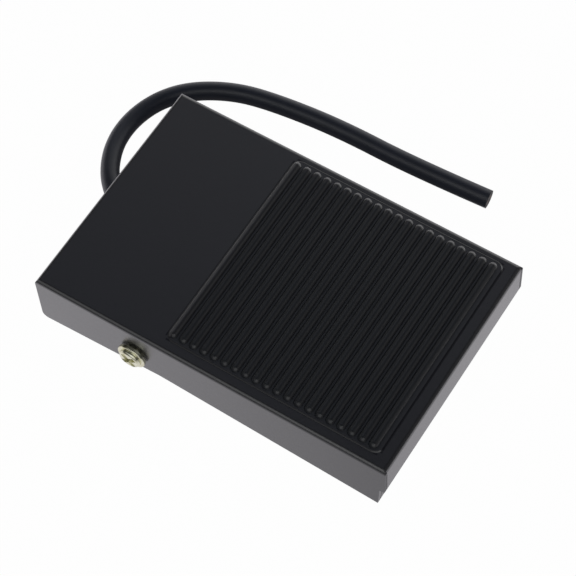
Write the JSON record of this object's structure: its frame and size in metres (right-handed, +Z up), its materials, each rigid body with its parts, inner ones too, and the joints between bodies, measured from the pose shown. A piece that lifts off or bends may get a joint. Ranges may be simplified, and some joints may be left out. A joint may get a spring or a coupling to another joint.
{
  "type": "foot switch",
  "caption": "Flat foot switch: a ribbed black steel pedal cover rocks on side screws over a folded tray with a snap-action switch; a short cord leaves the rear and curls round a corner.",
  "frame": {"origin": "on the floor under the middle of the switch, without its cord", "axes": "+X along the long side from the cord's end to the toe, +Z up, +Y towards the side the cord curls to"},
  "size_m": [0.1122, 0.0918, 0.0249],
  "materials": {
    "black_paint": "satin black paint on folded steel",
    "yellow_zinc": "yellow zinc plating",
    "zinc_steel": "bright zinc plating",
    "spring_steel": "drawn spring wire",
    "black_rubber": "matt",
    "switch_black": "moulded",
    "plunger_red": "moulded",
    "terminal_brass": "stamped",
    "cord_jacket": "smooth, slightly glossy jacket",
    "core_brown": "smooth insulation",
    "core_blue": "smooth insulation"
  },
  "bodies": {
    "base": {"base_tray": "black_paint", "pivot_screw_near": "yellow_zinc", "pivot_screw_far": "yellow_zinc", "gap_washer_near": "zinc_steel", "gap_washer_far": "zinc_steel", "pivot_nut_near": "zinc_steel", "pivot_nut_far": "zinc_steel", "switch_bracket": "zinc_steel", "bracket_rivets": "zinc_steel", "switch_screws": "zinc_steel", "switch_nuts": "zinc_steel", "cord_clip": "zinc_steel", "clip_stud": "zinc_steel", "clip_nut": "zinc_steel", "return_spring": "spring_steel", "rubber_feet": "black_rubber", "cord_grommet": "black_rubber", "switch_housing": "switch_black", "switch_cap": "switch_black", "terminal_rear": "terminal_brass", "terminal_middle": "terminal_brass", "terminal_toe": "terminal_brass", "cord": "cord_jacket", "cord_tail": "cord_jacket", "core_near": "core_brown", "core_far": "core_blue"},
    "pedal": {"pedal_cover": "black_paint", "striker": "zinc_steel", "spring_cup": "zinc_steel"},
    "plunger": {"switch_plunger": "plunger_red"}
  },
  "joints": [
    {"name": "pedal_hinge", "type": "hinge", "parent": "base", "child": "pedal", "pos_m": [-0.0207, 0, 0.0108], "axis": [0, 1, 0], "range_deg": [0, 3.5], "stiffness_Nm_per_rad": 3, "springref_deg": -4.58, "deforming": ["return_spring"]},
    {"name": "plunger_slide", "type": "slide", "parent": "base", "child": "plunger", "axis": [0, 0, -1], "range_m": [0, 0.0012]}
  ],
  "couplings": [
    {"joint": "plunger_slide", "follows": "pedal_hinge", "m_per_rad": 0.0184}
  ]
}
